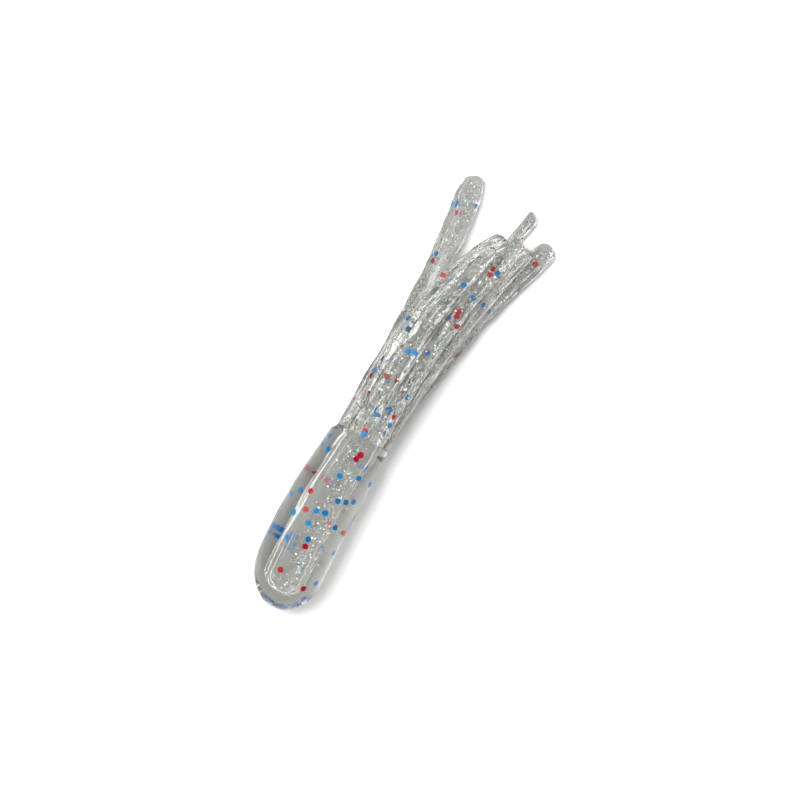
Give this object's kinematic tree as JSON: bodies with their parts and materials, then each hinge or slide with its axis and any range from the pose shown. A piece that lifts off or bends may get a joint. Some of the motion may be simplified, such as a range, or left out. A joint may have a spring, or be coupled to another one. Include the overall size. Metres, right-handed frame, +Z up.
{
  "type": "soft plastic fishing lure",
  "caption": "Hollow tube bait of clear glittered soft plastic: a round-nosed head with a blind bore for a jig head, and a tail slit into strands that flare.",
  "frame": {"origin": "centre of the bore's mouth, on the tube's axis, where the slits begin", "axes": "+X out of the mouth towards the tail, +Z up as the bait lies, +Y to the left seen from above with the tail ahead"},
  "size_m": [0.051, 0.0131, 0.0078],
  "materials": {
    "clear_plastisol": "clear soft plastisol, wet gloss, slightly hazy",
    "red_glitter": "metallised film flake, red",
    "blue_glitter": "metallised film flake, blue"
  },
  "bodies": {
    "tube": {"tube_core": "clear_plastisol", "head_coat": "clear_plastisol", "blue_flakes_in_coat": "blue_glitter", "blue_flakes_in_core": "blue_glitter", "red_flakes_in_coat": "red_glitter", "red_flakes_in_core": "red_glitter"},
    "crossing_strand": {"crossing_strand": "clear_plastisol", "blue_flakes_in_crossing_strand": "blue_glitter", "red_flakes_in_crossing_strand": "red_glitter"},
    "top_strand": {"top_strand": "clear_plastisol", "blue_flakes_in_top_strand": "blue_glitter", "red_flakes_in_top_strand": "red_glitter"},
    "right_top_strand": {"right_top_strand": "clear_plastisol", "blue_flakes_in_right_top_strand": "blue_glitter", "red_flakes_in_right_top_strand": "red_glitter"},
    "right_side_strand": {"right_side_strand": "clear_plastisol", "blue_flakes_in_right_side_strand": "blue_glitter", "red_flakes_in_right_side_strand": "red_glitter"},
    "right_floor_strand": {"right_floor_strand": "clear_plastisol", "blue_flakes_in_right_floor_strand": "blue_glitter", "red_flakes_in_right_floor_strand": "red_glitter"},
    "narrow_strand": {"narrow_strand": "clear_plastisol", "blue_flakes_in_narrow_strand": "blue_glitter", "red_flakes_in_narrow_strand": "red_glitter"},
    "hidden_strand": {"hidden_strand": "clear_plastisol", "blue_flakes_in_hidden_strand": "blue_glitter", "red_flakes_in_hidden_strand": "red_glitter"},
    "left_strand": {"left_strand": "clear_plastisol", "blue_flakes_in_left_strand": "blue_glitter", "red_flakes_in_left_strand": "red_glitter"}
  },
  "joints": [
    {"name": "crossing_flare", "type": "hinge", "parent": "tube", "child": "crossing_strand", "pos_m": [0, 0.00259, 0.00171], "axis": [0, -0.5519, 0.8339], "range_deg": [0, 70], "stiffness_Nm_per_rad": 0.0006},
    {"name": "top_flare", "type": "hinge", "parent": "tube", "child": "top_strand", "pos_m": [0, 0.0007, 0.00302], "axis": [0, -0.9744, 0.225], "range_deg": [0, 70], "stiffness_Nm_per_rad": 0.0006},
    {"name": "right_top_flare", "type": "hinge", "parent": "tube", "child": "right_top_strand", "pos_m": [0, -0.00164, 0.00263], "axis": [0, -0.848, -0.5299], "range_deg": [0, 70], "stiffness_Nm_per_rad": 0.0006},
    {"name": "right_side_flare", "type": "hinge", "parent": "tube", "child": "right_side_strand", "pos_m": [0, -0.00302, 0.0007], "axis": [0, -0.225, -0.9744], "range_deg": [0, 70], "stiffness_Nm_per_rad": 0.0006},
    {"name": "right_floor_flare", "type": "hinge", "parent": "tube", "child": "right_floor_strand", "pos_m": [0, -0.00263, -0.00164], "axis": [0, 0.5299, -0.848], "range_deg": [0, 70], "stiffness_Nm_per_rad": 0.0006},
    {"name": "narrow_flare", "type": "hinge", "parent": "tube", "child": "narrow_strand", "pos_m": [0, -0.00101, -0.00293], "axis": [0, 0.9455, -0.3256], "range_deg": [0, 70], "stiffness_Nm_per_rad": 0.0006},
    {"name": "hidden_flare", "type": "hinge", "parent": "tube", "child": "hidden_strand", "pos_m": [0, 0.00111, -0.00289], "axis": [0, 0.9336, 0.3584], "range_deg": [0, 70], "stiffness_Nm_per_rad": 0.0006},
    {"name": "left_flare", "type": "hinge", "parent": "tube", "child": "left_strand", "pos_m": [0, 0.00297, -0.00088], "axis": [0, 0.284, 0.9588], "range_deg": [0, 70], "stiffness_Nm_per_rad": 0.0006}
  ]
}
